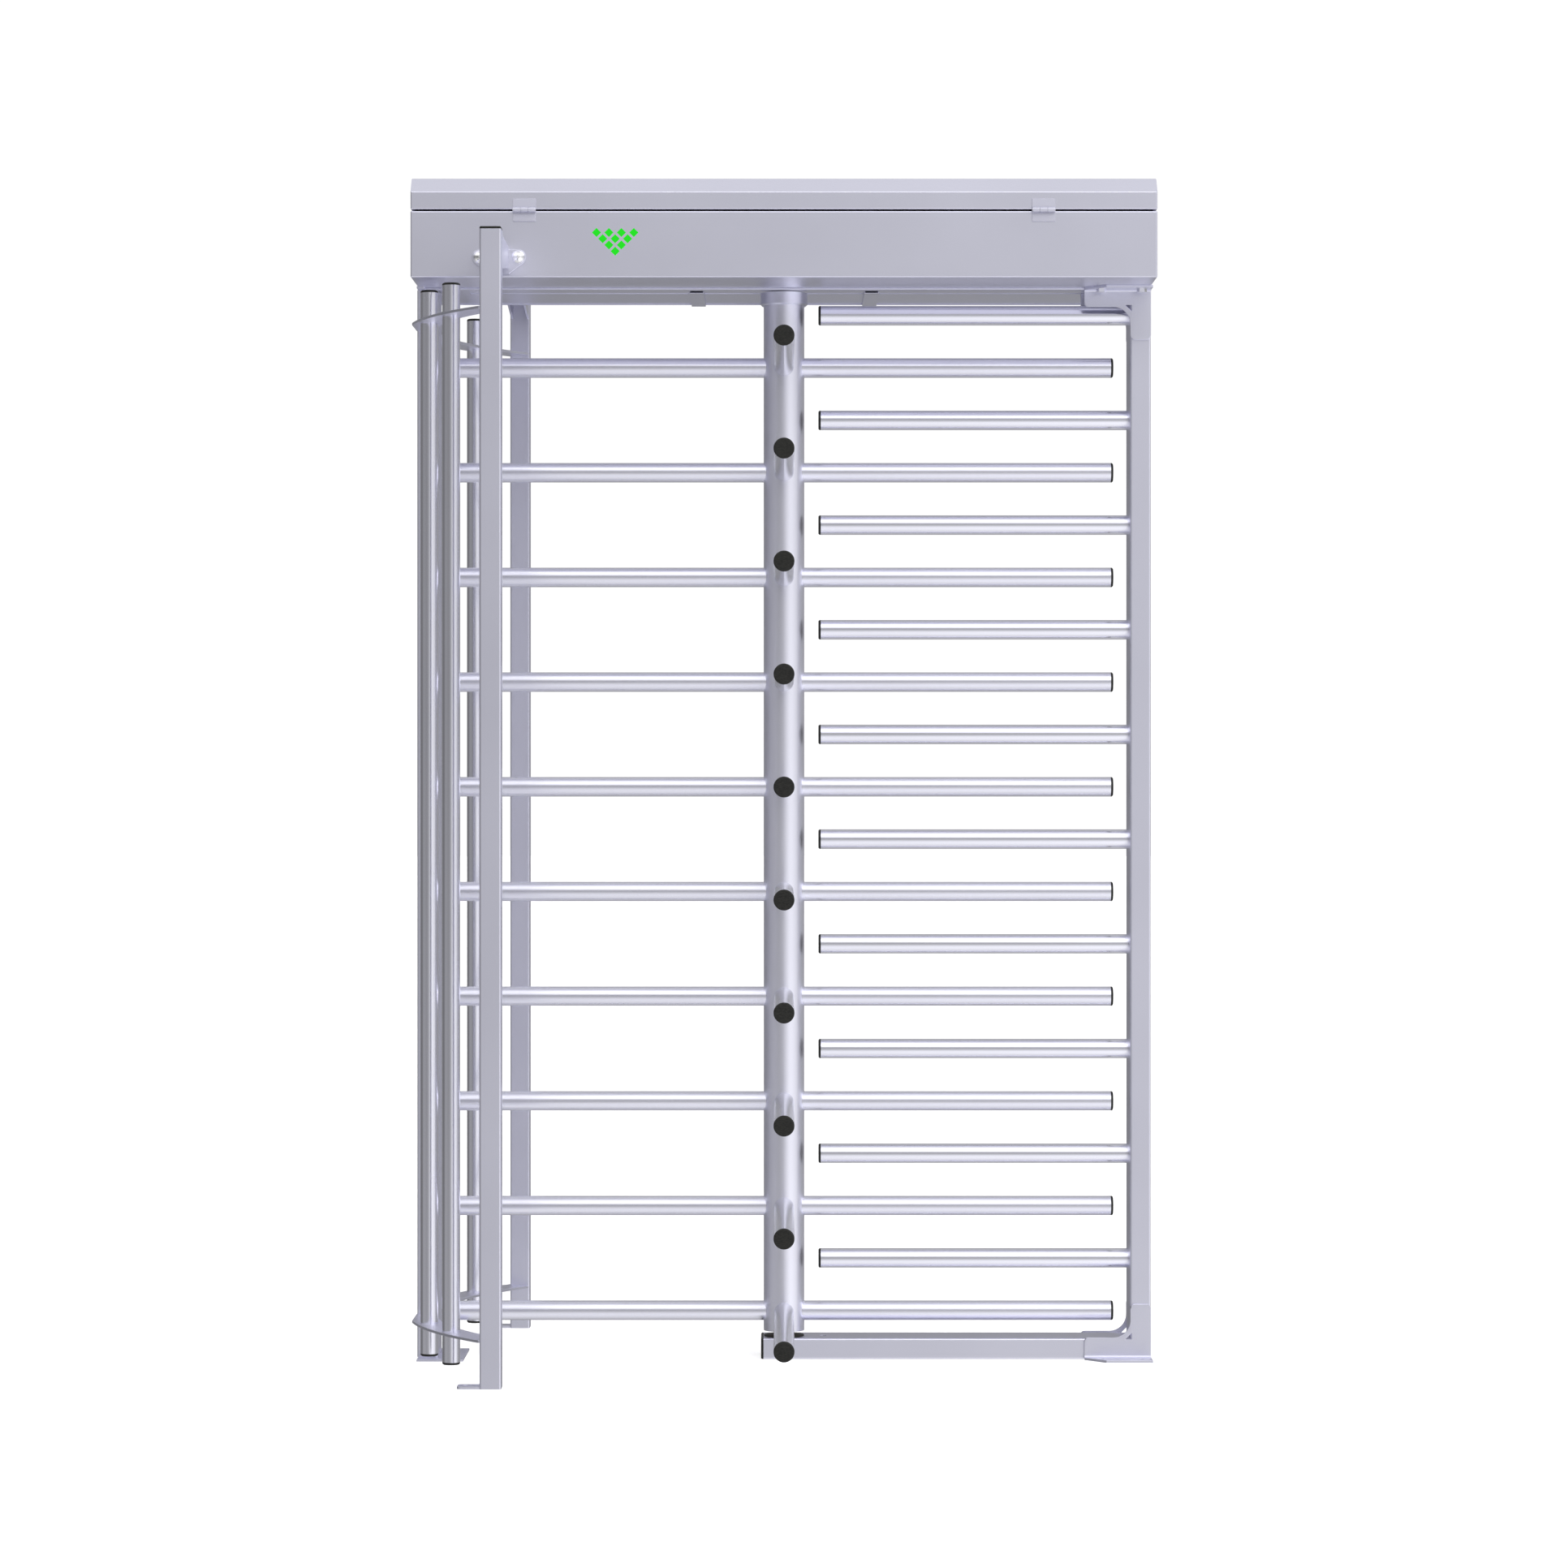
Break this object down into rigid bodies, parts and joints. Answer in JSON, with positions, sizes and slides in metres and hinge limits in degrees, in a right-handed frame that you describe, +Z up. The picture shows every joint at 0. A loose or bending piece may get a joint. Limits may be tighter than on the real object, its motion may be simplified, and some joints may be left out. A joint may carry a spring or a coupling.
{
  "type": "full-height turnstile",
  "caption": "Full-height pedestrian turnstile: a rotor with four wings of horizontal arms turns between a comb barrier and a curved tube cage under a hinged mechanism case.",
  "frame": {"origin": "on the floor under the rotor axis", "axes": "+Z up the rotor axis, +X towards the comb barrier, people walk along Y, and -Y is the front with the indicator"},
  "size_m": [1.421, 1.28, 2.2645],
  "materials": {
    "frame_paint": "satin",
    "black_cap": "fine grain",
    "black_rubber": "matte",
    "zinc_steel": "zinc plated",
    "machined_steel": "machined",
    "green_lens": "glossy",
    "circuit_board": "lacquered",
    "coil_plastic": "moulded",
    "bush_bronze": "turned"
  },
  "bodies": {
    "frame": {"right_post": "frame_paint", "left_post": "frame_paint", "bottom_beam": "frame_paint", "beam_end_cap": "black_cap", "top_bar": "frame_paint", "foot_plates": "frame_paint", "bottom_gussets": "frame_paint", "top_gussets": "frame_paint", "comb_arms": "frame_paint", "comb_caps": "black_cap", "cage_posts": "frame_paint", "cage_tubes": "frame_paint", "cage_caps": "black_cap", "upper_arc_plates": "frame_paint", "lower_arc_plates": "frame_paint", "post_brackets": "frame_paint", "bracket_bolts": "zinc_steel", "header_tray": "frame_paint", "support_channels": "frame_paint", "gusset_bolts": "zinc_steel", "lower_hinge_leaves": "frame_paint", "hinge_pins": "zinc_steel", "indicator_board": "circuit_board", "indicator_lenses": "green_lens", "bearing_housing": "machined_steel", "upper_bearing": "machined_steel", "mechanism_plate": "machined_steel", "plate_pillars": "zinc_steel", "pivot_pins": "zinc_steel", "solenoid_coils": "coil_plastic", "rotation_sensor": "coil_plastic", "control_board": "circuit_board", "power_supply": "machined_steel", "cable_gland": "black_cap", "lock_hook": "zinc_steel", "pivot_pin": "zinc_steel", "thrust_washer": "black_rubber"},
    "rotor": {"column": "frame_paint", "wing_front": "frame_paint", "wing_rear": "frame_paint", "wing_left": "frame_paint", "wing_right": "frame_paint", "arm_caps": "black_cap", "collar": "frame_paint", "top_shaft": "machined_steel", "lock_wheel": "machined_steel", "index_cam": "machined_steel", "sensor_disc": "machined_steel", "lower_bush": "bush_bronze"},
    "lid": {"header_lid": "frame_paint", "upper_hinge_leaves": "frame_paint", "lock_barrel": "zinc_steel"},
    "cam": {"lock_cam": "zinc_steel"},
    "lever": {"index_lever": "machined_steel", "index_spring": "zinc_steel"},
    "roller": {"index_roller": "coil_plastic"},
    "pawl_entry": {"entry_pawl": "machined_steel"},
    "pawl_exit": {"exit_pawl": "machined_steel"},
    "plunger_entry": {"entry_plunger": "machined_steel"},
    "plunger_exit": {"exit_plunger": "machined_steel"}
  },
  "joints": [
    {"name": "rotor_spin", "type": "hinge", "parent": "frame", "child": "rotor", "pos_m": [0, 0, 1], "axis": [0, 0, 1], "continuous": true},
    {"name": "lid_hinge", "type": "hinge", "parent": "frame", "child": "lid", "pos_m": [0, -0.2354, 2.201], "axis": [1, 0, 0], "range_deg": [0, 95]},
    {"name": "lock_turn", "type": "hinge", "parent": "lid", "child": "cam", "pos_m": [0, 0.21, 2.219], "axis": [0, 1, 0], "range_deg": [-90, 0]},
    {"name": "index_swing", "type": "hinge", "parent": "frame", "child": "lever", "pos_m": [0.085, 0.0645, 2.1675], "axis": [0, 0, 1], "range_deg": [0, 7.5], "stiffness_Nm_per_rad": 8},
    {"name": "roller_spin", "type": "hinge", "parent": "lever", "child": "roller", "pos_m": [0, 0.0645, 2.158], "axis": [0, 0, 1], "continuous": true},
    {"name": "exit_lock", "type": "hinge", "parent": "frame", "child": "pawl_exit", "pos_m": [0.095, -0.06, 2.1405], "axis": [0, 0, 1], "range_deg": [0, 10], "stiffness_Nm_per_rad": 0.5},
    {"name": "entry_lock", "type": "hinge", "parent": "frame", "child": "pawl_entry", "pos_m": [-0.095, -0.06, 2.1405], "axis": [0, 0, -1], "range_deg": [0, 10], "stiffness_Nm_per_rad": 0.5},
    {"name": "exit_push", "type": "slide", "parent": "frame", "child": "plunger_exit", "axis": [-1, 0, 0], "range_m": [0, 0.0158]},
    {"name": "entry_push", "type": "slide", "parent": "frame", "child": "plunger_entry", "axis": [1, 0, 0], "range_m": [0, 0.0158]}
  ],
  "couplings": [
    {"joint": "exit_push", "follows": "exit_lock", "m_per_rad": 0.09},
    {"joint": "entry_push", "follows": "entry_lock", "m_per_rad": 0.09}
  ]
}
